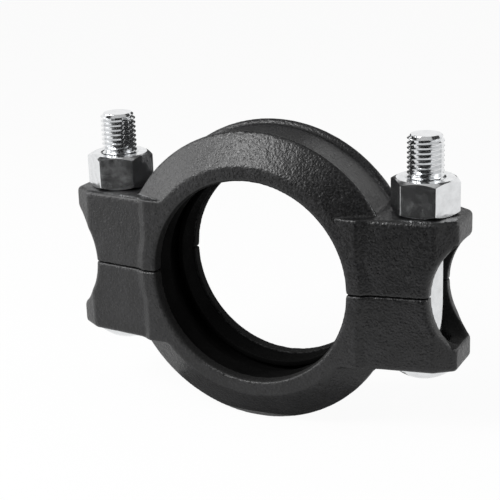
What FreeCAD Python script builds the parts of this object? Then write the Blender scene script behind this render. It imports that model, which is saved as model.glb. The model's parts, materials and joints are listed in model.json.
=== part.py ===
import FreeCAD, Part
import math
import os

from FreeCAD import Vector

# Rigid coupling for a grooved steel pipe of 114.3 mm outside diameter. Two cast iron
# halves close round a rubber gasket, their keys drop into the pipes' grooves, and two
# track bolts with heavy hex nuts pull the bolt pads together.
# Frame: origin at the centre of the bore. Y runs along the pipe, X from one bolt to
# the other, and Z up along the bolts, with the nuts on top. All sizes in millimetres.

# Keys, which bear on the floor of the grooves
key_radius = 55.25
key_width = 6.4
key_lead_in = 1.25
body_width = 54.0

# Gasket pocket between the keys
pocket_depth = 12.25
pocket_mouth_depth = 5.0
pocket_slant = 3.6

# Outside of the ring: flat face, sloping shoulder, a low rim and a recessed crown
face_height = 8.05
pocket_wall = 9.6
rim_height = 2.7
rim_top_width = 3.0
rim_slope = 1.2
rim_step = 1.9
rim_round = 0.8
rim_half_span = 17.4
shoulder_ledge = 0.6

# Bolt pads
seat_height = 40.3
plate_thickness = 12.8
flank_inset = 2.3
flank_run = 3.6
pad_wall = 7.9
pad_taper = 0.14
corner_reach = 11.0
pad_reach = 21.6
end_half_width = 12.2
waist_reach = 8.0
end_height = 12.2
window_wall = 8.5
window_round = 9.5
corner_round = 5.0
waist_round = 3.6
edge_round = 2.4
parting_gap = 0.5

# Track bolts with an oval neck under a round low-domed head
bolt_diameter = 19.05
window_clearance = 3.9
neck_length = 26.2
neck_height = 9.6
neck_clearance = 0.6
head_diameter = 33.0
head_edge = 2.6
head_height = 9.2
bolt_protrusion = 22.25
tip_chamfer = 1.8

# Heavy hex nuts
nut_across_flats = 31.75
nut_height = 18.65
nut_chamfer_angle = 30.0
nut_face_diameter = 30.2
nut_countersink = 1.0
nut_running_clearance = 0.05
nut_ring_clearance = 1.8
left_nut_turn = 21.0
right_nut_turn = 4.3

# Gasket with a hollow C section and two sealing lips
gasket_clearance = 0.3
gasket_crown = 5.2
gasket_lip_radius = 56.3
gasket_lip_thickness = 3.2
gasket_heel = 5.0
gasket_lip_gap = 14.0
gasket_heel_step = 0.9

# Sizes that follow from the ones above
half_width = body_width / 2
key_inner_y = half_width - key_width
pocket_radius = key_radius + pocket_depth
floor_radius = pocket_radius + pocket_wall
rim_radius = floor_radius + rim_height
crease_radius = key_radius + face_height
root_x = crease_radius / 2
shoulder_radius = rim_radius - rim_step
nut_corner_radius = nut_across_flats / math.sqrt(3)
bolt_radius = bolt_diameter / 2
seat_start_x = math.sqrt(rim_radius ** 2 - seat_height ** 2)
bolt_x = seat_start_x + nut_corner_radius + nut_ring_clearance
window_top = seat_height - plate_thickness
end_bottom = seat_height - end_height
window_inner_radius = pocket_radius + window_wall
pad_end_x = bolt_x + pad_reach
corner_x = bolt_x + corner_reach
waist_x = bolt_x + waist_reach
flank_x = crease_radius - flank_inset
flank_end_x = flank_x + flank_run
window_half_width = bolt_radius + window_clearance
slot_half_width = bolt_radius + neck_clearance
slot_length = neck_length + 2 * neck_clearance
tip_z = seat_height + nut_height + bolt_protrusion

# Places nearer to each other than this are the same place
same_place = 1e-6

ORIGIN = Vector(0, 0, 0)
ALONG_X = Vector(1, 0, 0)
ALONG_Y = Vector(0, 1, 0)
ALONG_Z = Vector(0, 0, 1)


def face_of(points):
    """Flat face bounded by straight edges through the points."""
    return Part.Face(Part.makePolygon(points + points[:1]))


def section_face(outline):
    """Face in the X-Y plane from (radius, y) pairs, to be spun about the pipe's axis."""
    return face_of([Vector(radius, y, 0) for radius, y in outline])


def both_ends(outline):
    """Completes an outline given for the front end with its mirror image behind."""
    return outline + [(radius, -y) for radius, y in reversed(outline)]


def spun(outline):
    """Full ring spun about the pipe's axis."""
    return section_face(outline).revolve(ORIGIN, ALONG_Y, 360)


def edges_where(shape, test):
    """Edges of the shape whose middle point passes the test."""
    found = []
    for edge in shape.Edges:
        middle = edge.valueAt((edge.FirstParameter + edge.LastParameter) / 2)
        if test(middle, edge):
            found.append(edge)
    return found


def ring_blank():
    """Outside of the cast ring as a solid disc, with its rims and recessed crown."""
    rim_inner_y = rim_half_span - rim_top_width
    front = [
        (0, -half_width),
        (crease_radius, -half_width),
        (shoulder_radius, -rim_half_span - shoulder_ledge),
        (shoulder_radius, -rim_half_span),
        (rim_radius - rim_round, -rim_half_span),
        (rim_radius, -rim_half_span + rim_round),
        (rim_radius, -rim_inner_y - rim_round),
        (rim_radius - rim_round, -rim_inner_y),
        (floor_radius, -rim_inner_y + rim_slope),
    ]
    return spun(both_ends(front))


def bore_void():
    """Space inside the ring: keys with a lead-in, and the gasket pocket."""
    slant_y = key_inner_y - pocket_slant
    beyond = half_width + key_lead_in
    front = [
        (0, -beyond),
        (key_radius + 2 * key_lead_in, -beyond),
        (key_radius, -half_width + key_lead_in),
        (key_radius, -key_inner_y),
        (key_radius + pocket_mouth_depth, -key_inner_y),
        (pocket_radius, -slant_y),
    ]
    return spun(both_ends(front))


def wall_y(x):
    """Half width of the pad at x: its front and back walls draw in towards the end."""
    return window_half_width + pad_wall - pad_taper * (x - bolt_x)


def pad_plan():
    """Outline of the right pad from above, from inside the ring to the pad's end."""
    half = [
        (root_x, -half_width),
        (flank_x, -half_width),
        (flank_end_x, -wall_y(flank_end_x)),
        (corner_x, -wall_y(corner_x)),
        (pad_end_x, -end_half_width),
    ]
    outline = half + [(x, -y) for x, y in reversed(half)]
    return [Vector(x, y, 0) for x, y in outline]


def waist_arc():
    """Hollow curve of the pad's outer edge, upright at the parting plane, up to the end face."""
    run = pad_end_x - waist_x
    radius = (run ** 2 + end_bottom ** 2) / (2 * run)
    half_turn = math.asin(end_bottom / radius) / 2
    middle = Vector(waist_x + radius * (1 - math.cos(half_turn)), 0, radius * math.sin(half_turn))
    return Part.Arc(Vector(waist_x, 0, 0), middle, Vector(pad_end_x, 0, end_bottom)).toShape()


def pad_blank():
    """Right pad before its window: the plan carried up, cut to the waisted profile."""
    block = face_of(pad_plan()).extrude(Vector(0, 0, seat_height))
    corners = [
        Vector(pad_end_x, 0, end_bottom),
        Vector(pad_end_x, 0, seat_height),
        Vector(root_x, 0, seat_height),
        Vector(root_x, 0, 0),
        Vector(waist_x, 0, 0),
    ]
    profile = Part.Face(Part.Wire([waist_arc()] + list(Part.makePolygon(corners).Edges)))
    profile.translate(Vector(0, -body_width, 0))
    pad = block.common(profile.extrude(Vector(0, 2 * body_width, 0)))

    def upright_corner(point, edge):
        along = edge.tangentAt(edge.FirstParameter)
        upright = max(abs(along.x), abs(along.y)) < same_place
        return upright and abs(point.x - corner_x) < same_place

    def along_waist(point, edge):
        below_end = same_place < point.z < end_bottom - same_place
        return point.x > waist_x and below_end and abs(point.y) > same_place

    def seat_or_end_rim(point, edge):
        on_seat = abs(point.z - seat_height) < same_place
        under_end = abs(point.z - end_bottom) < same_place and point.x > corner_x
        return point.x > flank_end_x and (on_seat or under_end)

    pad = pad.makeFillet(corner_round, edges_where(pad, upright_corner))
    pad = pad.makeFillet(waist_round, edges_where(pad, along_waist))
    return pad.makeFillet(edge_round, edges_where(pad, seat_or_end_rim))


def window_cutter():
    """Hollow inside the right pad, open outwards and to the other half."""
    far_x = pad_end_x + corner_round
    plan = face_of([
        Vector(root_x, -window_half_width, -seat_height),
        Vector(far_x, -window_half_width, -seat_height),
        Vector(far_x, window_half_width, -seat_height),
        Vector(root_x, window_half_width, -seat_height),
    ])
    hollow = plan.extrude(Vector(0, 0, seat_height + window_top))

    def ceiling_side(point, edge):
        along = edge.tangentAt(edge.FirstParameter)
        return abs(point.z - window_top) < same_place and abs(along.x) > abs(along.y)

    hollow = hollow.makeFillet(window_round, edges_where(hollow, ceiling_side))
    ring_wall = Part.makeCylinder(
        window_inner_radius, 2 * body_width, Vector(0, -body_width, 0), ALONG_Y
    )
    return hollow.cut(ring_wall)


def oval_prism(half_width_y, length_x, low_z, high_z):
    """Upright oval bar at the right bolt, long across the pipe."""
    offset = length_x / 2 - half_width_y
    height = high_z - low_z
    bar = Part.makeBox(
        2 * offset, 2 * half_width_y, height, Vector(bolt_x - offset, -half_width_y, low_z)
    )
    for side in (-1, 1):
        centre = Vector(bolt_x + side * offset, 0, low_z)
        bar = bar.fuse(Part.makeCylinder(half_width_y, height, centre, ALONG_Z))
    return bar.removeSplitter()


def mirrored_x(shape):
    """The same shape on the left side."""
    return shape.mirror(ORIGIN, ALONG_X)


def upper_half():
    """Upper cast half: ring, two bolt pads, their windows and oval bolt holes."""
    pad = pad_blank()
    body = ring_blank().fuse([pad, mirrored_x(pad)])
    window = window_cutter()
    hole = oval_prism(slot_half_width, slot_length, 0, 2 * seat_height)
    tools = [bore_void()]
    for tool in (window, hole):
        tools += [tool, mirrored_x(tool)]
    body = body.cut(tools)
    reach = 2 * pad_end_x
    above = Part.makeBox(2 * reach, 2 * reach, reach, Vector(-reach, -reach, parting_gap / 2))
    return body.common(above).removeSplitter()


def gasket():
    """Rubber ring with a C section: crown outside, two lips turned in to the middle."""
    outer = pocket_radius - gasket_clearance
    side_y = key_inner_y - gasket_clearance
    shoulder = key_radius + pocket_mouth_depth
    slant_y = side_y - pocket_slant
    lip_y = gasket_lip_gap / 2
    lip_back = gasket_lip_radius + gasket_lip_thickness
    front = [
        (outer, -slant_y),
        (shoulder, -side_y),
        (gasket_lip_radius + gasket_heel_step, -side_y),
        (gasket_lip_radius, -side_y + gasket_heel_step),
        (gasket_lip_radius, -lip_y),
        (lip_back, -lip_y - gasket_heel_step),
        (lip_back + gasket_heel_step, -side_y + gasket_heel),
        (outer - gasket_crown, -slant_y + gasket_heel),
    ]
    return spun(both_ends(front))


def bolt():
    """Right bolt: low-domed head, oval neck, plain shank and chamfered tip."""
    under = -seat_height
    edge_z = under - head_edge
    crown_z = under - head_height
    head_radius = head_diameter / 2
    rise = head_height - head_edge
    dome_radius = (head_radius ** 2 + rise ** 2) / (2 * rise)
    half_turn = math.asin(head_radius / dome_radius) / 2
    dome_middle = Vector(
        dome_radius * math.sin(half_turn), 0, crown_z + dome_radius * (1 - math.cos(half_turn))
    )
    dome = Part.Arc(Vector(0, 0, crown_z), dome_middle, Vector(head_radius, 0, edge_z)).toShape()
    corners = [
        Vector(head_radius, 0, edge_z),
        Vector(head_radius, 0, under),
        Vector(bolt_radius, 0, under),
        Vector(bolt_radius, 0, tip_z - tip_chamfer),
        Vector(bolt_radius - tip_chamfer, 0, tip_z),
        Vector(0, 0, tip_z),
        Vector(0, 0, crown_z),
    ]
    profile = Part.Face(Part.Wire([dome] + list(Part.makePolygon(corners).Edges)))
    turned = profile.revolve(ORIGIN, ALONG_Z, 360)
    turned.translate(Vector(bolt_x, 0, 0))
    neck = oval_prism(bolt_radius, neck_length, under, under + neck_height)
    return turned.fuse(neck).removeSplitter()


def nut(turn):
    """Heavy hex nut at the right bolt, one flat turned from the front by some degrees."""
    top_z = seat_height + nut_height
    corners = []
    for step in range(6):
        angle = math.radians(turn - 60 + 60 * step)
        corners.append(Vector(
            nut_corner_radius * math.cos(angle), nut_corner_radius * math.sin(angle), seat_height
        ))
    prism = face_of(corners).extrude(Vector(0, 0, nut_height))
    face_radius = nut_face_diameter / 2
    reach = nut_height / 2 / math.tan(math.radians(nut_chamfer_angle))
    cones = face_of([
        Vector(0, 0, seat_height),
        Vector(face_radius, 0, seat_height),
        Vector(face_radius + reach, 0, seat_height + nut_height / 2),
        Vector(face_radius, 0, top_z),
        Vector(0, 0, top_z),
    ]).revolve(ORIGIN, ALONG_Z, 360)
    body = prism.common(cones)
    bore_radius = bolt_radius + nut_running_clearance
    bore = Part.makeCylinder(bore_radius, nut_height, Vector(0, 0, seat_height), ALONG_Z)
    wide = bore_radius + nut_countersink
    low_sink = Part.makeCone(wide, bore_radius, nut_countersink, Vector(0, 0, seat_height))
    high_sink = Part.makeCone(bore_radius, wide, nut_countersink, Vector(0, 0, top_z - nut_countersink))
    body = body.cut([bore, low_sink, high_sink])
    body.translate(Vector(bolt_x, 0, 0))
    return body


def at_left(shape):
    """Moves a shape from the right bolt to the left one without turning it over."""
    moved = shape.copy()
    moved.translate(Vector(-2 * bolt_x, 0, 0))
    return moved


def save(name, shape):
    """Writes one solid, in its own file."""
    solid = shape.Solids[0] if len(shape.Solids) == 1 else shape
    if len(shape.Solids) != 1 or not solid.isValid():
        raise RuntimeError("%s is not one sound solid" % name)
    solid.exportStep(os.path.join("parts", name + ".step"))
    print(name, round(solid.Volume / 1000, 2), "cm3")


def main():
    os.makedirs("parts", exist_ok=True)
    upper = upper_half()
    save("upper_housing", upper)
    save("lower_housing", upper.mirror(ORIGIN, ALONG_Z))
    save("gasket", gasket())
    right_bolt = bolt()
    save("right_bolt", right_bolt)
    save("left_bolt", at_left(right_bolt))
    save("right_nut", nut(right_nut_turn))
    save("left_nut", at_left(nut(left_nut_turn)))


main()
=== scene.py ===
"""Dresses a bolted coupling for grooved pipe: sand-cast halves, rubber gasket, track bolts and nuts."""

import json
import math

import bmesh
import bpy
from mathutils import Matrix, Vector


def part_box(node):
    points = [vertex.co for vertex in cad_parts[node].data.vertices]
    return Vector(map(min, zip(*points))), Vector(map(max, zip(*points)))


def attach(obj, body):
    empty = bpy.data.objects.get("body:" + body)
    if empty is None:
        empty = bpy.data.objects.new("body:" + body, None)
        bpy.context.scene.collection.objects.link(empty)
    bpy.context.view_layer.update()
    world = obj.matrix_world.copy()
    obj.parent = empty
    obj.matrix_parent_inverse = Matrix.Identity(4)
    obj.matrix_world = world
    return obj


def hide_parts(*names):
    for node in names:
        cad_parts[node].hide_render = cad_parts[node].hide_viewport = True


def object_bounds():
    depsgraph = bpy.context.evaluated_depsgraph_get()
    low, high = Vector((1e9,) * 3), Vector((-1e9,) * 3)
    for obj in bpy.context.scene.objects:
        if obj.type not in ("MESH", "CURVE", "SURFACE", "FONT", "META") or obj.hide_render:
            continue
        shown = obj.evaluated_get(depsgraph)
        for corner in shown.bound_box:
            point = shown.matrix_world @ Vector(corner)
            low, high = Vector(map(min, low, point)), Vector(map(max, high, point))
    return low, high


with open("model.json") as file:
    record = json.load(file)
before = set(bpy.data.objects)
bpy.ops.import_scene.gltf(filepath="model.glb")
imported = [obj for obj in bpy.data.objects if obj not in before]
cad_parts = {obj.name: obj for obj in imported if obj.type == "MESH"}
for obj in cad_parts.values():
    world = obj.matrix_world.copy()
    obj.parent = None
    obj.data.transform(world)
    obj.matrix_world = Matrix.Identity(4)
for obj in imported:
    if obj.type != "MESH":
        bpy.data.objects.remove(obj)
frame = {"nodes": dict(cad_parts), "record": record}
CAD_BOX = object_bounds()

bl_info = {
    "name": "Grooved Pipe Coupling",
    "version": (1, 0, 0),
    "blender": (4, 5, 0),
    "location": "View3D > Sidebar > Coupling",
    "description": "Makes the cast halves, gasket, track bolts and hex nuts of a rigid pipe coupling",
    "category": "Add Mesh",
}

MM = 0.001
WELD = 0.001 * MM
SIDES = ("left", "right")

# How the pieces are divided
SHARP_ANGLE = math.radians(28)
GASKET_STEPS = 240
EDGE_SEGMENTS = 3
DOME_RINGS = 10
NUT_SIDES = 6
ON_CORNER = 10 * WELD

# The thread's flanks stand at this angle, and it runs out over this many turns
FLANK_ANGLE = math.radians(30)
RUN_OUT_TURNS = 2

# Painted shade: the bore inside these radii and the inner walls of the windows are painted darker, and also
# made rougher
BORE_SHADE = (55.6 * MM, 56.2 * MM)
WINDOW_RADIUS = 75.5 * MM
WINDOW_HALF_WIDTH = 13.6 * MM
WINDOW_TOP = 27.7 * MM
SHADE_FADE = 0.1 * MM

# Each lamp's name, degrees to the right and up, distance, width and height, and the property with its power
LAMPS = (
    ("left_box", -72, 18, 0.9, (0.5, 0.6), "left_power"),
    ("front_left_box", -33, 42, 1.0, (0.4, 0.4), "high_power"),
    ("right_box", 105, 25, 1.0, (0.5, 0.6), "right_power"),
    ("top_box", 0, 85, 1.0, (1.0, 1.0), "top_power"),
)

# The floor, and the cards that only reflections see: greys, lifts over the ground, spans and places
FLOOR_REACH = 12.0
BLACK = 0.05
SHADE_GREY = 0.3
CEILING_GREY = 0.15
CARD_LIFT = 3 * MM
UPRIGHT_LIFT = 10 * MM
UPRIGHT_DISTANCE = 0.28
UPRIGHT_HALF_WIDTH = 0.175
UPRIGHT_HEIGHT = 0.30
FLAT_FROM = math.radians(-30)
FLAT_TO = math.radians(60)
FLAT_NEAR = 0.34
FLAT_FAR = 1.6
CEILING_X = CEILING_Y = (-1.2, 1.2)
CEILING_Z = 1.1
BACK_Y = 0.13
CROWN_X = (-0.125, 0.005)
CROWN_Z = (0.065, 0.15)
LOW_X = (-0.14, 0.11)
# Painted shadow: spans of the grey sheet beneath the coupling that stands for its shadow in reflections
CONTACT_X = (-0.065, 0.065)
CONTACT_Y = (-0.034, 0.12)


class CastingSizes(bpy.types.PropertyGroup):
    """Skin and paint of the two cast halves."""

    skin_step: bpy.props.FloatProperty(
        name="Skin step", description="Spacing of the points over the cast surface",
        default=0.8 * MM, min=0.3 * MM, unit="LENGTH")
    rub_passes: bpy.props.IntProperty(
        name="Edge rubbing", description="How often the edges are rubbed round, as moulding sand leaves them",
        default=2, min=0)
    ripple_height: bpy.props.FloatProperty(
        name="Ripple height", description="Depth of the hollows that the mould leaves",
        default=0.14 * MM, min=0, unit="LENGTH")
    ripple_length: bpy.props.FloatProperty(
        name="Ripple length", description="Distance from one hollow to the next",
        default=4.5 * MM, min=0, unit="LENGTH")
    paint: bpy.props.FloatVectorProperty(
        name="Paint", description="Colour of the paint", default=(0.007, 0.007, 0.0073),
        subtype="COLOR", size=3, min=0, max=1)
    worn_paint: bpy.props.FloatVectorProperty(
        name="Thin paint", description="Colour where the paint lies thin on the grains",
        default=(0.020, 0.020, 0.021), subtype="COLOR", size=3, min=0, max=1)
    # Painted shade: the darkest colour, put in the bore and on the windows' inner walls, where shade falls
    inside_painted_shade: bpy.props.FloatVectorProperty(
        name="Inside", description="Colour of the painted shade in the bore and the windows",
        default=(0.002, 0.002, 0.002), subtype="COLOR", size=3, min=0, max=1)


class GasketSizes(bpy.types.PropertyGroup):
    """Section of the rubber gasket."""

    lip_radius: bpy.props.FloatProperty(
        name="Lip radius", description="Radius that the sealing lips close to",
        default=56.3 * MM, unit="LENGTH")
    lip_thickness: bpy.props.FloatProperty(
        name="Lip thickness", description="Thickness of a lip at its tip", default=3.2 * MM, unit="LENGTH")
    lip_gap: bpy.props.FloatProperty(
        name="Lip gap", description="Distance between the two lips", default=14.0 * MM, unit="LENGTH")
    heel: bpy.props.FloatProperty(
        name="Heel", description="Thickness of the side walls", default=5.0 * MM, unit="LENGTH")
    crown: bpy.props.FloatProperty(
        name="Crown", description="Thickness of the outer wall", default=5.2 * MM, unit="LENGTH")
    shoulder_drop: bpy.props.FloatProperty(
        name="Shoulder drop", description="How far the slanted shoulder lies inside the crown",
        default=7.0 * MM, unit="LENGTH")
    shoulder_run: bpy.props.FloatProperty(
        name="Shoulder run", description="How far the slanted shoulder runs in from the side",
        default=3.6 * MM, unit="LENGTH")
    edge: bpy.props.FloatProperty(
        name="Edge round", description="Radius of the moulded edges", default=0.6 * MM, unit="LENGTH")
    rubber: bpy.props.FloatVectorProperty(
        name="Rubber", description="Colour of the rubber", default=(0.002, 0.002, 0.002),
        subtype="COLOR", size=3, min=0, max=1)


class FastenerSizes(bpy.types.PropertyGroup):
    """Threads, track bolts and heavy hex nuts."""

    pitch: bpy.props.FloatProperty(
        name="Pitch", description="Rise of the thread in one turn", default=2.54 * MM, unit="LENGTH")
    bolt_diameter: bpy.props.FloatProperty(
        name="Bolt diameter", description="Over the crests of the thread", default=19.05 * MM, unit="LENGTH")
    thread_depth: bpy.props.FloatProperty(
        name="Thread depth", description="From crest to root", default=1.5 * MM, unit="LENGTH")
    crest_flat: bpy.props.FloatProperty(
        name="Crest flat", description="Width of the crest along the bolt", default=0.34 * MM, unit="LENGTH")
    thread_clearance: bpy.props.FloatProperty(
        name="Thread clearance", description="Radial gap between bolt and nut", default=0.09 * MM,
        unit="LENGTH")
    thread_start: bpy.props.FloatProperty(
        name="Thread start", description="Height over the pads' seats at which the thread runs out",
        default=-6.3 * MM, unit="LENGTH")
    turn_steps: bpy.props.IntProperty(
        name="Steps per turn", description="Points round one turn of the thread", default=72, min=24)
    tip_chamfer: bpy.props.FloatProperty(
        name="Tip chamfer", description="Chamfer at the bolt's tip", default=1.8 * MM, unit="LENGTH")
    neck_length: bpy.props.FloatProperty(
        name="Neck length", description="Length of the oval neck across the pipe",
        default=26.2 * MM, unit="LENGTH")
    neck_height: bpy.props.FloatProperty(
        name="Neck height", description="Height of the oval neck", default=9.6 * MM, unit="LENGTH")
    head_edge: bpy.props.FloatProperty(
        name="Head edge", description="Height of the head's straight rim", default=2.6 * MM, unit="LENGTH")
    across_flats: bpy.props.FloatProperty(
        name="Across flats", description="Nut size across its flats", default=31.75 * MM, unit="LENGTH")
    nut_face: bpy.props.FloatProperty(
        name="Nut face", description="Diameter of the nut's round face", default=30.2 * MM, unit="LENGTH")
    nut_chamfer: bpy.props.FloatProperty(
        name="Nut chamfer", description="Slope of the chamfer at the nut's corners",
        default=math.radians(30), subtype="ANGLE")
    countersink: bpy.props.FloatProperty(
        name="Countersink", description="How far the nut's thread is opened at its mouth",
        default=1.0 * MM, unit="LENGTH")
    edge: bpy.props.FloatProperty(
        name="Edge round", description="Radius of the machined edges", default=0.35 * MM, unit="LENGTH")
    bolt_roughness: bpy.props.FloatProperty(
        name="Bolt roughness", description="How satin the bolts' plating is", default=0.13, min=0, max=1)
    nut_roughness: bpy.props.FloatProperty(
        name="Nut roughness", description="How satin the nuts' plating is", default=0.20, min=0, max=1)
    bolt_waves: bpy.props.FloatProperty(
        name="Bolt waves", description="Unevenness of the bolts' plating", default=0.05 * MM, unit="LENGTH")
    nut_waves: bpy.props.FloatProperty(
        name="Nut waves", description="Unevenness of the nuts' forged flats", default=0.55 * MM,
        unit="LENGTH")
    zinc: bpy.props.FloatVectorProperty(
        name="Zinc", description="Colour of the plating", default=(0.78, 0.79, 0.80),
        subtype="COLOR", size=3, min=0, max=1)


class StudioSizes(bpy.types.PropertyGroup):
    """Camera, floor and lamps."""

    distance: bpy.props.FloatProperty(
        name="Distance", description="From the camera to the middle of the bore",
        default=768.5 * MM, unit="LENGTH")
    azimuth: bpy.props.FloatProperty(
        name="Azimuth", description="How far the camera stands to the right of the pipe's axis",
        default=math.radians(24.77), subtype="ANGLE")
    elevation: bpy.props.FloatProperty(
        name="Elevation", description="How far the camera looks down", default=math.radians(18.04),
        subtype="ANGLE")
    roll: bpy.props.FloatProperty(
        name="Roll", description="Tilt of the camera about its own line of sight",
        default=math.radians(-1.60), subtype="ANGLE")
    lens: bpy.props.FloatProperty(
        name="Lens", description="Focal length for a 36 mm sensor, in millimetres", default=101.66)
    shift_x: bpy.props.FloatProperty(
        name="Shift across", description="Share of the picture's width by which the lens is shifted",
        default=-0.0369)
    shift_y: bpy.props.FloatProperty(
        name="Shift up", description="Share of the picture's width by which the lens is shifted upwards",
        default=0.0374)
    floor_colour: bpy.props.FloatVectorProperty(
        name="Floor", description="Colour of the floor", default=(0.86, 0.86, 0.86),
        subtype="COLOR", size=3, min=0, max=1)
    floor_white: bpy.props.FloatProperty(
        name="Floor white", description="Share of pure white that the camera sees in the floor",
        default=0.95, min=0, max=1)
    floor_gloss: bpy.props.FloatProperty(
        name="Floor in reflections", description="Share of pure white that reflections see in the floor",
        default=0.8, min=0, max=1)
    fill_level: bpy.props.FloatProperty(
        name="Fill", description="Strength of the even light from all round", default=0.15, min=0)
    left_power: bpy.props.FloatProperty(
        name="Left lamp", description="Power of the soft box on the left", default=3.3, unit="POWER")
    right_power: bpy.props.FloatProperty(
        name="Right lamp", description="Power of the soft box on the right", default=2.0, unit="POWER")
    high_power: bpy.props.FloatProperty(
        name="High left lamp", description="Power of the soft box high on the left", default=8.4,
        unit="POWER")
    top_power: bpy.props.FloatProperty(
        name="Top lamp", description="Power of the soft box overhead", default=1.5, unit="POWER")


def add_piece(name, mesh):
    """Object for a finished mesh, in the scene's own collection."""
    piece = bpy.data.objects.new(name, mesh)
    bpy.context.scene.collection.objects.link(piece)
    return piece


def mesh_from(bm, name):
    """Mesh of a finished build, which has to be closed."""
    bmesh.ops.recalc_face_normals(bm, faces=bm.faces)
    if any(len(edge.link_faces) != 2 for edge in bm.edges):
        raise RuntimeError(name + " is not a closed surface")
    mesh = bpy.data.meshes.new(name)
    bm.to_mesh(mesh)
    bm.free()
    mesh.shade_smooth()
    mesh.set_sharp_from_angle(angle=SHARP_ANGLE)
    return mesh


def dress(piece, node, material):
    """The piece takes its node's place, body and material."""
    body = next(name for name, nodes in frame["record"]["behaviour"]["bodies"].items() if node in nodes)
    piece.data.materials.clear()
    piece.data.materials.append(material)
    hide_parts(node)
    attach(piece, body)


def free_edges(bm):
    """Edges with a face on one side only."""
    return [edge for edge in bm.edges if edge.is_boundary]


def ring_of(bm, radius, height, steps, turn):
    """Circle of edges about the Z axis, its first point turned by an angle."""
    placed = Matrix.Translation((0, 0, height)) @ Matrix.Rotation(turn, 4, "Z")
    made = bmesh.ops.create_circle(bm, cap_ends=False, segments=steps, radius=radius, matrix=placed)
    verts = set(made["verts"])
    return [edge for edge in bm.edges if verts.issuperset(edge.verts)]


def next_ring(bm, ring, place):
    """Extrudes a ring of edges and moves the new points where place says; returns the new ring."""
    made = bmesh.ops.extrude_edge_only(bm, edges=ring)["geom"]
    for part in made:
        if isinstance(part, bmesh.types.BMVert):
            part.co = place(part.co)
    return [part for part in made if isinstance(part, bmesh.types.BMEdge)
            and all(vert in made for vert in part.verts)]


class Nodes:
    """Short way to lay out a material's nodes."""

    def __init__(self, name):
        self.material = bpy.data.materials.new(name)
        self.material.use_nodes = True
        self.tree = self.material.node_tree
        self.shader = self.tree.nodes["Principled BSDF"]
        self.coordinates = self.add("ShaderNodeTexCoord").outputs["Object"]

    def add(self, kind, **values):
        """New node, with values set on its inputs by name."""
        node = self.tree.nodes.new(kind)
        for name, value in values.items():
            node.inputs[name.replace("_", " ")].default_value = value
        return node

    def link(self, source, target):
        """Joins one node's output to another's input."""
        self.tree.links.new(source, target)

    def noise(self, length, detail=3.0, roughness=0.55):
        """Noise whose grains are about the given length, in metres."""
        node = self.add("ShaderNodeTexNoise", Scale=1 / length, Detail=detail, Roughness=roughness)
        self.link(self.coordinates, node.inputs["Vector"])
        return node.outputs["Fac"]

    def pebbles(self, length):
        """Rounded grains about the given length apart, in metres."""
        node = self.add("ShaderNodeTexVoronoi", Scale=1 / length)
        node.feature = "SMOOTH_F1"
        node.inputs["Smoothness"].default_value = 0.35
        self.link(self.coordinates, node.inputs["Vector"])
        return self.span(node.outputs["Distance"], 1.0, 0.0, start=0.0, end=0.8)

    def span(self, source, low, high, start=0.0, end=1.0):
        """Maps a value from start..end to low..high."""
        node = self.tree.nodes.new("ShaderNodeMapRange")
        for name, value in zip(("From Min", "From Max", "To Min", "To Max"), (start, end, low, high)):
            node.inputs[name].default_value = value
        self.link(source, node.inputs["Value"])
        return node.outputs["Result"]

    def calculate(self, operation, first, second=0.0):
        """Result of a Math node on a socket and a second socket or number."""
        node = self.tree.nodes.new("ShaderNodeMath")
        node.operation = operation
        self.link(first, node.inputs[0])
        if isinstance(second, bpy.types.NodeSocket):
            self.link(second, node.inputs[1])
        else:
            node.inputs[1].default_value = second
        return node.outputs[0]

    def sum(self, first, second, share):
        """First value plus a share of the second."""
        node = self.tree.nodes.new("ShaderNodeMath")
        node.operation = "MULTIPLY_ADD"
        node.inputs[1].default_value = share
        self.link(second, node.inputs[0])
        self.link(first, node.inputs[2])
        return node.outputs[0]

    def colours(self, source, *stops):
        """Colour along a value from 0 to 1, from pairs of place and colour."""
        node = self.tree.nodes.new("ShaderNodeValToRGB")
        points = node.color_ramp.elements
        for place, colour in stops[1:-1]:
            points.new(place)
        for point, (place, colour) in zip(points, stops):
            point.position = place
            point.color = (*colour, 1)
        self.link(source, node.inputs["Fac"])
        return node.outputs["Color"]

    def radius_about_y(self):
        """Distance from the pipe's axis."""
        flat = self.tree.nodes.new("ShaderNodeVectorMath")
        flat.operation = "MULTIPLY"
        flat.inputs[1].default_value = (1, 0, 1)
        self.link(self.coordinates, flat.inputs[0])
        length = self.tree.nodes.new("ShaderNodeVectorMath")
        length.operation = "LENGTH"
        self.link(flat.outputs["Vector"], length.inputs[0])
        return length.outputs["Value"]

    def beyond(self, distance, limit):
        """1 where a distance is over the limit and 0 where it is under, with a short fade."""
        return self.span(distance, 0.0, 1.0, start=limit - SHADE_FADE, end=limit + SHADE_FADE)

    def off_middle(self, axis):
        """Distance from the coupling's middle along one axis."""
        parts = self.tree.nodes.new("ShaderNodeSeparateXYZ")
        self.link(self.coordinates, parts.inputs[0])
        return self.calculate("ABSOLUTE", parts.outputs[axis])

    def bump(self, height, depth, strength=1.0, onto=None):
        """Relief of the given depth, in metres, over an earlier relief."""
        node = self.add("ShaderNodeBump", Strength=strength, Distance=depth)
        self.link(height, node.inputs["Height"])
        if onto is not None:
            self.link(onto, node.inputs["Normal"])
        return node.outputs["Normal"]


def window_shade_mask(nodes):
    """1 on the walls inside the windows of the bolt pads, where shade is painted, and 0 elsewhere."""
    share = nodes.beyond(nodes.radius_about_y(), WINDOW_RADIUS)
    for axis, limit in (("Y", WINDOW_HALF_WIDTH), ("Z", WINDOW_TOP)):
        outside = nodes.beyond(nodes.off_middle(axis), limit)
        share = nodes.calculate("SUBTRACT", share, outside)
    return nodes.calculate("MAXIMUM", share, 0.0)


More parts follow.
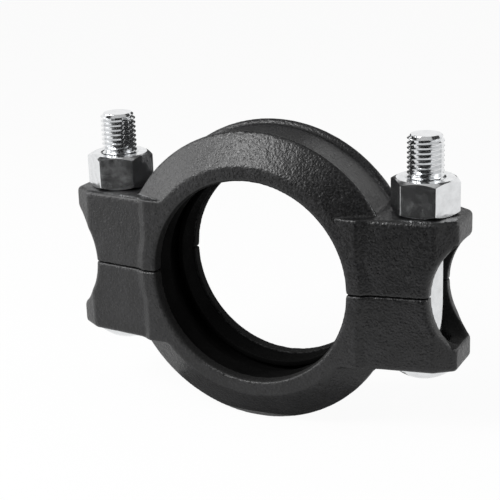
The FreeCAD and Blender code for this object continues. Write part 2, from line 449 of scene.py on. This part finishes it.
def black_cast_paint(casting):
    """Thin black paint over sand-cast iron: a fine grain with glints, smoother patches, and painted shade in
    the bore and the windows.
    """
    nodes = Nodes("black_cast_paint")
    grain = nodes.noise(1.1 * MM, detail=2, roughness=0.5)
    sand = nodes.pebbles(1.35 * MM)
    ripple = nodes.noise(5.0 * MM, detail=3)
    patches = nodes.noise(22 * MM, detail=2)
    # Painted shade: the bore and the windows' inner walls take the darkest colour, and are made rougher
    bore = nodes.span(nodes.radius_about_y(), 1.0, 0.0, start=BORE_SHADE[0], end=BORE_SHADE[1])
    painted_shade_share = nodes.calculate("MAXIMUM", bore, window_shade_mask(nodes))
    mottle = nodes.sum(grain, patches, 0.6)
    thin = nodes.span(mottle, 0.4, 1.0, start=0.7, end=1.1)
    shade = nodes.sum(thin, painted_shade_share, -1.0)
    colour = nodes.colours(shade, (0.0, casting.inside_painted_shade), (0.4, casting.paint), (1.0, casting.worn_paint))
    nodes.link(colour, nodes.shader.inputs["Base Color"])
    gloss = nodes.span(grain, 0.27, 0.45, start=0.3, end=0.7)
    nodes.link(nodes.sum(gloss, painted_shade_share, 0.5), nodes.shader.inputs["Roughness"])
    nodes.shader.inputs["Specular IOR Level"].default_value = 0.4
    coarse = nodes.bump(ripple, 0.35 * MM)
    relief = nodes.sum(grain, sand, 0.5)
    nodes.link(nodes.bump(relief, 0.23 * MM, onto=coarse), nodes.shader.inputs["Normal"])
    return nodes.material


def gasket_rubber(gasket):
    """Matt moulded rubber with a faint bloom."""
    nodes = Nodes("moulded_rubber")
    bloom = nodes.noise(14 * MM, detail=3)
    grain = nodes.noise(0.8 * MM, detail=2)
    lighter = [2.2 * value for value in gasket.rubber]
    bloom_share = nodes.span(bloom, 0.0, 1.0, start=0.4, end=0.75)
    colour = nodes.colours(bloom_share, (0.0, gasket.rubber), (1.0, lighter))
    nodes.link(colour, nodes.shader.inputs["Base Color"])
    nodes.link(nodes.span(grain, 0.7, 0.85, start=0.3, end=0.7), nodes.shader.inputs["Roughness"])
    nodes.shader.inputs["Specular IOR Level"].default_value = 0.06
    nodes.link(nodes.bump(grain, 0.05 * MM), nodes.shader.inputs["Normal"])
    return nodes.material


def zinc_plate(name, zinc, roughness, unevenness):
    """Bright zinc over steel, clouded, with shallow waves that are a share of the unevenness deep."""
    nodes = Nodes(name)
    clouds = nodes.noise(4.5 * MM, detail=4, roughness=0.6)
    dimples = nodes.noise(1.6 * MM, detail=2)
    dull = [0.88 * value for value in zinc]
    cloud_share = nodes.span(clouds, 0.0, 1.0, start=0.35, end=0.7)
    colour = nodes.colours(cloud_share, (0.0, zinc), (1.0, dull))
    nodes.link(colour, nodes.shader.inputs["Base Color"])
    nodes.shader.inputs["Metallic"].default_value = 1.0
    satin = nodes.span(clouds, roughness - 0.05, roughness + 0.06, start=0.35, end=0.7)
    nodes.link(satin, nodes.shader.inputs["Roughness"])
    waves = nodes.bump(nodes.noise(8 * MM, detail=1), unevenness)
    nodes.link(nodes.bump(dimples, 0.02 * MM, strength=0.6, onto=waves), nodes.shader.inputs["Normal"])
    return nodes.material


def cast_half(name, node, casting):
    """Copy of a cast half with an even skin, its edges rubbed round and its faces slightly hollowed."""
    mesh = frame["nodes"][node].data.copy()
    bm = bmesh.new()
    bm.from_mesh(mesh)
    bmesh.ops.remove_doubles(bm, verts=bm.verts, dist=WELD)
    bm.to_mesh(mesh)
    bm.free()
    piece = add_piece(name, mesh)
    skin = piece.modifiers.new("even_skin", "REMESH")
    skin.mode = "VOXEL"
    skin.voxel_size = casting.skin_step
    skin.use_smooth_shade = True
    rub = piece.modifiers.new("rubbed_edges", "SMOOTH")
    rub.factor = 0.5
    rub.iterations = casting.rub_passes
    hollows = bpy.data.textures.new(name + "_hollows", "CLOUDS")
    hollows.noise_scale = casting.ripple_length
    hollows.noise_depth = 2
    ripple = piece.modifiers.new("mould_ripple", "DISPLACE")
    ripple.texture = hollows
    ripple.texture_coords = "LOCAL"
    ripple.mid_level = 0.0
    ripple.strength = casting.ripple_height
    return piece


def gasket_mesh(gasket):
    """Ring with a C section: crown outside, two lips turned in towards each other."""
    low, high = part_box("gasket")
    outer = high.x
    side = high.y
    slant = side - gasket.shoulder_run
    shoulder = outer - gasket.shoulder_drop
    lip_back = gasket.lip_radius + gasket.lip_thickness
    half = [
        (outer, slant),
        (shoulder, side),
        (gasket.lip_radius, side),
        (gasket.lip_radius, gasket.lip_gap / 2),
        (lip_back, gasket.lip_gap / 2 + gasket.edge),
        (lip_back + gasket.edge, side - gasket.heel),
        (outer - gasket.crown, slant - gasket.heel),
    ]
    outline = [(radius, -y) for radius, y in half] + list(reversed(half))
    bm = bmesh.new()
    verts = [bm.verts.new((radius, y, 0)) for radius, y in outline]
    edges = [bm.edges.new((verts[i - 1], verts[i])) for i in range(len(verts))]
    bmesh.ops.bevel(
        bm, geom=verts, offset=gasket.edge, offset_type="OFFSET", segments=EDGE_SEGMENTS,
        profile=0.5, affect="VERTICES", material=-1)
    bmesh.ops.spin(
        bm, geom=bm.verts[:] + bm.edges[:], cent=(0, 0, 0), axis=(0, 1, 0), angle=math.tau,
        steps=GASKET_STEPS, use_merge=True)
    bmesh.ops.remove_doubles(bm, verts=bm.verts, dist=WELD)
    return mesh_from(bm, "gasket_ring")


def thread_ribbon(bm, fasteners, crest, root, low, high):
    """Screw surface about the Z axis between two heights; crest and root are its two radii."""
    pitch = fasteners.pitch
    flank = (crest - root) * math.tan(FLANK_ANGLE)
    root_flat = pitch - fasteners.crest_flat - 2 * flank
    heights = (0, root_flat, root_flat + flank, pitch - flank, pitch)
    radii = (root, root, crest, crest, root)
    start = math.floor(low / pitch - 1) * pitch
    verts = [bm.verts.new((radius, 0, start + height)) for radius, height in zip(radii, heights)]
    edges = [bm.edges.new(pair) for pair in zip(verts, verts[1:])]
    turns = math.ceil((high - start) / pitch) + 1
    steps = fasteners.turn_steps
    bmesh.ops.spin(
        bm, geom=verts + edges, cent=(0, 0, 0), axis=(0, 0, 1), dvec=(0, 0, pitch / steps),
        angle=math.tau * turns, steps=steps * turns, use_merge=False)
    bmesh.ops.remove_doubles(bm, verts=bm.verts, dist=WELD)
    for height, clear_above in ((low, False), (high, True)):
        bmesh.ops.bisect_plane(
            bm, geom=bm.verts[:] + bm.edges[:] + bm.faces[:], dist=WELD, plane_co=(0, 0, height),
            plane_no=(0, 0, 1), clear_outer=clear_above, clear_inner=not clear_above)


def rescale_radius(bm, rule):
    """Moves each point along its radius from the Z axis to where rule(radius, height) says."""
    for vert in bm.verts:
        radius = math.hypot(vert.co.x, vert.co.y)
        share = rule(radius, vert.co.z) / radius
        vert.co.x *= share
        vert.co.y *= share


def bolt_mesh(fasteners, side):
    """Track bolt: threaded end, plain shank, oval neck and a low-domed head, as one closed surface."""
    low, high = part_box(side + "_bolt")
    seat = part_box(side + "_nut")[0].z
    radius = fasteners.bolt_diameter / 2
    tip = high.z
    start = seat + fasteners.thread_start
    run_out = RUN_OUT_TURNS * fasteners.pitch
    bm = bmesh.new()
    thread_ribbon(bm, fasteners, radius, radius - fasteners.thread_depth, start, tip)

    def rolled(point_radius, height):
        """Radius of a point of the thread, which runs out below and is chamfered at the tip."""
        depth = (radius - point_radius) * min(1.0, (height - start) / run_out)
        cone = radius + tip - fasteners.tip_chamfer - height
        return min(radius - depth, cone)

    rescale_radius(bm, rolled)
    ends = free_edges(bm)
    top = [edge for edge in ends if edge.verts[0].co.z > (start + tip) / 2]
    ring = [edge for edge in ends if edge not in top]
    bmesh.ops.edgeloop_fill(bm, edges=top)

    neck_top = -seat + fasteners.neck_height
    under = -seat
    reach = fasteners.neck_length / 2 - radius
    head_radius = (high.x - low.x) / 2
    head_share = head_radius / radius
    rim_z = under - fasteners.head_edge

    def stretch(point):
        """How far along X the oval neck lies outside the round shank."""
        return math.copysign(reach, point.x) if abs(point.x) > WELD else 0

    def oval(point):
        """From the round shank out to the top of the oval neck."""
        return Vector((point.x + stretch(point), point.y, neck_top))

    def head(point):
        """From the foot of the oval neck out to the head's round rim."""
        return Vector(((point.x - stretch(point)) * head_share, point.y * head_share, under))

    ring = next_ring(bm, ring, lambda point: Vector((point.x, point.y, neck_top)))
    ring = next_ring(bm, ring, oval)
    ring = next_ring(bm, ring, lambda point: Vector((point.x, point.y, under)))
    ring = next_ring(bm, ring, head)
    ring = next_ring(bm, ring, lambda point: Vector((point.x, point.y, rim_z)))
    rise = rim_z - low.z
    dome_radius = (head_radius ** 2 + rise ** 2) / (2 * rise)
    last = head_radius
    for step in range(1, DOME_RINGS):
        wanted = head_radius * math.cos(math.pi / 2 * step / DOME_RINGS)
        height = low.z + dome_radius - math.sqrt(dome_radius ** 2 - wanted ** 2)
        share = wanted / last
        ring = next_ring(bm, ring, lambda point: Vector((point.x * share, point.y * share, height)))
        last = wanted
    bmesh.ops.edgeloop_fill(bm, edges=ring)
    bmesh.ops.remove_doubles(bm, verts=bm.verts, dist=WELD)
    bmesh.ops.translate(bm, verts=bm.verts, vec=((low.x + high.x) / 2, (low.y + high.y) / 2, 0))
    return mesh_from(bm, side + "_track_bolt")


def hex_turn(node, centre):
    """Angle of one corner of a nut about its axis, read from the points furthest from it."""
    points = (vert.co - centre for vert in frame["nodes"][node].data.vertices)
    far = max(points, key=lambda point: math.hypot(point.x, point.y))
    return math.atan2(far.y, far.x)


def nut_mesh(fasteners, side):
    """Heavy hex nut, chamfered on both faces, with a thread that matches the bolt's."""
    low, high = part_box(side + "_nut")
    bolt_low, bolt_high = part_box(side + "_bolt")
    centre = Vector(((bolt_low.x + bolt_high.x) / 2, (bolt_low.y + bolt_high.y) / 2, 0))
    turn = hex_turn(side + "_nut", centre)
    flat = fasteners.across_flats / 2
    face = fasteners.nut_face / 2
    widest = fasteners.bolt_diameter / 2 + fasteners.thread_clearance
    mouth = widest + fasteners.countersink
    bm = bmesh.new()
    thread_ribbon(bm, fasteners, widest, widest - fasteners.thread_depth, low.z, high.z)

    def opened(point_radius, height):
        """Radius of a point of the thread, which is countersunk at both faces."""
        from_face = min(height - low.z, high.z - height)
        return max(point_radius, mouth - from_face)

    rescale_radius(bm, opened)
    mouths = free_edges(bm)
    sector = math.tau / NUT_SIDES

    def hex_point(point, face_z, inward):
        """From a round face out to the hexagon, where the chamfer cuts its corners."""
        angle = math.atan2(point.y, point.x)
        from_corner = (angle - turn) % sector
        radius = flat / math.cos(from_corner - sector / 2)
        drop = (radius - face) * math.tan(fasteners.nut_chamfer)
        return Vector((radius * math.cos(angle), radius * math.sin(angle), face_z + inward * drop))

    def face_point(point):
        """From the hexagon in to the upper round face."""
        angle = math.atan2(point.y, point.x)
        return Vector((face * math.cos(angle), face * math.sin(angle), high.z))

    seat_ring = ring_of(bm, face, low.z, fasteners.turn_steps, turn)
    ring = next_ring(bm, seat_ring, lambda point: hex_point(point, low.z, 1))
    ring = next_ring(bm, ring, lambda point: hex_point(point, high.z, -1))
    top_ring = next_ring(bm, ring, face_point)
    for face_z, ring in ((low.z, seat_ring), (high.z, top_ring)):
        mouth = [edge for edge in mouths if abs(edge.verts[0].co.z - face_z) < WELD]
        bmesh.ops.triangle_fill(bm, edges=mouth + ring, use_beauty=True)
    corners = [
        edge for edge in bm.edges
        if abs(edge.verts[0].co.z - edge.verts[1].co.z) > (high.z - low.z) / 2
        and math.hypot(edge.verts[0].co.x, edge.verts[0].co.y) > flat / math.cos(sector / 2) - ON_CORNER
    ]
    bmesh.ops.bevel(
        bm, geom=corners, offset=fasteners.edge, offset_type="OFFSET", segments=EDGE_SEGMENTS,
        profile=0.5, affect="EDGES", material=-1)
    bmesh.ops.translate(bm, verts=bm.verts, vec=centre)
    return mesh_from(bm, side + "_hex_nut")


def lamp(name, azimuth, elevation, distance, size, power):
    """Soft box that faces the middle of the bore."""
    data = bpy.data.lights.new(name, "AREA")
    data.shape = "RECTANGLE"
    data.size, data.size_y = size
    data.energy = power
    away = direction(azimuth, elevation)
    holder = bpy.data.objects.new(name, data)
    holder.location = away * distance
    holder.rotation_euler = away.to_track_quat("Z", "Y").to_euler()
    bpy.context.scene.collection.objects.link(holder)
    return holder


def direction(azimuth, elevation):
    """Unit vector to a place round the coupling: azimuth 0 is the front, 90 degrees the right."""
    level = math.cos(elevation)
    return Vector((math.sin(azimuth) * level, -math.cos(azimuth) * level, math.sin(elevation)))


def plane_object(name, corners, material):
    """Flat sheet through four corners."""
    bm = bmesh.new()
    bm.faces.new([bm.verts.new(corner) for corner in corners])
    mesh = bpy.data.meshes.new(name)
    bm.to_mesh(mesh)
    bm.free()
    mesh.materials.append(material)
    return add_piece(name, mesh)


def rectangle(across, along):
    """The four corners between two spans, in order round the rectangle."""
    return [(across[0], along[0]), (across[1], along[0]), (across[1], along[1]), (across[0], along[1])]


def facing_y(across, y, height):
    """Corners of an upright sheet, from its spans along X and Z."""
    return [(x, y, z) for x, z in rectangle(across, height)]


def facing_z(across, along, z):
    """Corners of a level sheet, from its spans along X and Y."""
    return [(x, y, z) for x, y in rectangle(across, along)]


def card_material(name, grey):
    """Matt card of one grey."""
    material = bpy.data.materials.new(name)
    material.use_nodes = True
    shader = material.node_tree.nodes["Principled BSDF"]
    shader.inputs["Base Color"].default_value = (grey, grey, grey, 1)
    shader.inputs["Roughness"].default_value = 1.0
    shader.inputs["Specular IOR Level"].default_value = 0.0
    return material


def seen_directly(tree):
    """1 for rays from the camera, in reflections and through glass, and 0 for the rest."""
    path = tree.nodes.new("ShaderNodeLightPath")
    seen = path.outputs["Is Camera Ray"]
    for kind in ("Is Glossy Ray", "Is Transmission Ray"):
        either = tree.nodes.new("ShaderNodeMath")
        either.operation = "MAXIMUM"
        tree.links.new(seen, either.inputs[0])
        tree.links.new(path.outputs[kind], either.inputs[1])
        seen = either.outputs[0]
    return seen


def floor_material(studio):
    """Pale floor, white to the camera and nearly white in reflections."""
    nodes = Nodes("pale_floor")
    nodes.shader.inputs["Base Color"].default_value = (*studio.floor_colour, 1)
    nodes.shader.inputs["Roughness"].default_value = 0.9
    nodes.shader.inputs["Specular IOR Level"].default_value = 0.0
    path = nodes.add("ShaderNodeLightPath")
    mirrored = nodes.calculate("MAXIMUM", path.outputs["Is Glossy Ray"], path.outputs["Is Transmission Ray"])
    seen = nodes.calculate("MULTIPLY", path.outputs["Is Camera Ray"], studio.floor_white)
    share = nodes.calculate("MAXIMUM", seen, nodes.calculate("MULTIPLY", mirrored, studio.floor_gloss))
    white = nodes.add("ShaderNodeEmission")
    mix = nodes.add("ShaderNodeMixShader")
    nodes.link(share, mix.inputs[0])
    nodes.link(nodes.shader.outputs[0], mix.inputs[1])
    nodes.link(white.outputs[0], mix.inputs[2])
    nodes.link(mix.outputs[0], nodes.tree.nodes["Material Output"].inputs["Surface"])
    return nodes.material


def world_light(studio):
    """White to the camera, in reflections and through glass; an even fill otherwise."""
    world = bpy.data.worlds.new("studio")
    world.use_nodes = True
    tree = world.node_tree
    level = tree.nodes.new("ShaderNodeMapRange")
    level.inputs["To Min"].default_value = studio.fill_level
    level.inputs["To Max"].default_value = 1.0
    tree.links.new(seen_directly(tree), level.inputs["Value"])
    background = tree.nodes["Background"]
    background.inputs["Color"].default_value = (1, 1, 1, 1)
    tree.links.new(level.outputs["Result"], background.inputs["Strength"])
    bpy.context.scene.world = world


class COUPLING_OT_cast_halves(bpy.types.Operator):
    """Make the two painted cast halves"""

    bl_idname = "coupling.cast_halves"
    bl_label = "Cast halves"

    def execute(self, context):
        casting = context.scene.coupling_casting
        paint = black_cast_paint(casting)
        for level in ("upper", "lower"):
            piece = cast_half(level + "_casting", level + "_housing", casting)
            dress(piece, level + "_housing", paint)
        return {"FINISHED"}


class COUPLING_OT_gasket(bpy.types.Operator):
    """Make the rubber gasket"""

    bl_idname = "coupling.gasket"
    bl_label = "Gasket"

    def execute(self, context):
        gasket = context.scene.coupling_gasket
        piece = add_piece("gasket_ring", gasket_mesh(gasket))
        dress(piece, "gasket", gasket_rubber(gasket))
        return {"FINISHED"}


class COUPLING_OT_track_bolts(bpy.types.Operator):
    """Make the two oval-neck track bolts"""

    bl_idname = "coupling.track_bolts"
    bl_label = "Track bolts"

    def execute(self, context):
        fasteners = context.scene.coupling_fasteners
        zinc = zinc_plate("bright_zinc", fasteners.zinc, fasteners.bolt_roughness, fasteners.bolt_waves)
        for side in SIDES:
            piece = add_piece(side + "_track_bolt", bolt_mesh(fasteners, side))
            dress(piece, side + "_bolt", zinc)
        return {"FINISHED"}


class COUPLING_OT_hex_nuts(bpy.types.Operator):
    """Make the two heavy hex nuts"""

    bl_idname = "coupling.hex_nuts"
    bl_label = "Hex nuts"

    def execute(self, context):
        fasteners = context.scene.coupling_fasteners
        zinc = zinc_plate("clouded_zinc", fasteners.zinc, fasteners.nut_roughness, fasteners.nut_waves)
        for side in SIDES:
            piece = add_piece(side + "_hex_nut", nut_mesh(fasteners, side))
            dress(piece, side + "_nut", zinc)
        return {"FINISHED"}


class COUPLING_OT_studio(bpy.types.Operator):
    """Make the floor, the lamps and the camera"""

    bl_idname = "coupling.studio"
    bl_label = "Studio"

    def execute(self, context):
        studio = context.scene.coupling_studio
        span = (-FLOOR_REACH, FLOOR_REACH)
        corners = facing_z(span, span, CAD_BOX[0].z)
        plane_object("floor", corners, floor_material(studio))
        world_light(studio)
        for name, right, up, distance, size, power in LAMPS:
            lamp(name, math.radians(right), math.radians(up), distance, size, getattr(studio, power))
        self.add_cards(studio)
        self.add_camera(context.scene, studio)
        context.scene.view_settings.view_transform = "Standard"
        return {"FINISHED"}

    def add_cards(self, studio):
        """Black and grey cards, seen only in reflections, which give the dark tones their shape."""
        ground = CAD_BOX[0].z
        low = ground + CARD_LIFT
        away = direction(studio.azimuth, 0) * UPRIGHT_DISTANCE
        across = Vector((math.cos(studio.azimuth), math.sin(studio.azimuth), 0)) * UPRIGHT_HALF_WIDTH
        foot = Vector((away.x, away.y, ground + UPRIGHT_LIFT))
        top = foot + Vector((0, 0, UPRIGHT_HEIGHT))
        upright = (foot - across, foot + across, top + across, top - across)
        rim = rectangle((FLAT_FROM, FLAT_TO), (FLAT_NEAR, FLAT_FAR))
        flat = [direction(angle, 0) * reach + Vector((0, 0, low)) for angle, reach in rim]
        black = card_material("black_card", BLACK)
        self.add_card("upright_card", upright, black)
        self.add_card("flat_card", flat, black)
        self.add_card("crown_card", facing_y(CROWN_X, BACK_Y, CROWN_Z), black)
        self.add_card("bore_card", facing_y(LOW_X, BACK_Y, (low, CROWN_Z[0])), black)
        # Painted shadow: a grey sheet on the floor beneath the coupling, seen only in reflections, stands for
        # its shadow there
        shade = card_material("shade_card", SHADE_GREY)
        self.add_card("contact_card", facing_z(CONTACT_X, CONTACT_Y, low), shade)
        grey = card_material("grey_card", CEILING_GREY)
        self.add_card("ceiling_card", facing_z(CEILING_X, CEILING_Y, CEILING_Z), grey)

    def add_card(self, name, corners, material):
        """Sheet that neither the camera nor the lamps' light meets, only reflections."""
        card = plane_object(name, corners, material)
        card.visible_camera = False
        card.visible_diffuse = False
        card.visible_shadow = False
        card.visible_transmission = False

    def add_camera(self, scene, studio):
        """Camera that looks at the middle of the bore, rolled and with its lens shifted."""
        data = bpy.data.cameras.new("camera")
        data.lens = studio.lens
        data.shift_x = studio.shift_x
        data.shift_y = studio.shift_y
        camera = bpy.data.objects.new("camera", data)
        back = direction(studio.azimuth, studio.elevation)
        camera.location = back * studio.distance
        turn = (-back).to_track_quat("-Z", "Y")
        camera.rotation_mode = "QUATERNION"
        camera.rotation_quaternion = turn @ Matrix.Rotation(studio.roll, 3, "Z").to_quaternion()
        scene.collection.objects.link(camera)
        scene.camera = camera


class COUPLING_PT_panel(bpy.types.Panel):
    """Sizes and makers of the coupling"""

    bl_idname = "COUPLING_PT_panel"
    bl_label = "Pipe coupling"
    bl_space_type = "VIEW_3D"
    bl_region_type = "UI"
    bl_category = "Coupling"

    def draw(self, context):
        for group, operators in GROUPS:
            box = self.layout.box()
            values = getattr(context.scene, group)
            for name in values.bl_rna.properties.keys():
                if name not in ("rna_type", "name"):
                    box.prop(values, name)
            for operator in operators:
                box.operator(operator.bl_idname)


GROUPS = (
    ("coupling_casting", (COUPLING_OT_cast_halves,)),
    ("coupling_gasket", (COUPLING_OT_gasket,)),
    ("coupling_fasteners", (COUPLING_OT_track_bolts, COUPLING_OT_hex_nuts)),
    ("coupling_studio", (COUPLING_OT_studio,)),
)
POINTERS = {
    "coupling_casting": CastingSizes,
    "coupling_gasket": GasketSizes,
    "coupling_fasteners": FastenerSizes,
    "coupling_studio": StudioSizes,
}
CLASSES = (
    CastingSizes, GasketSizes, FastenerSizes, StudioSizes,
    COUPLING_OT_cast_halves, COUPLING_OT_gasket, COUPLING_OT_track_bolts, COUPLING_OT_hex_nuts,
    COUPLING_OT_studio, COUPLING_PT_panel,
)


def register():
    for each in CLASSES:
        bpy.utils.register_class(each)
    for name, group in POINTERS.items():
        setattr(bpy.types.Scene, name, bpy.props.PointerProperty(type=group))


def unregister():
    for name in POINTERS:
        delattr(bpy.types.Scene, name)
    for each in reversed(CLASSES):
        bpy.utils.unregister_class(each)


def main():
    register()
    bpy.ops.coupling.cast_halves()
    bpy.ops.coupling.gasket()
    bpy.ops.coupling.track_bolts()
    bpy.ops.coupling.hex_nuts()
    bpy.ops.coupling.studio()


if __name__ == "__main__":
    main()
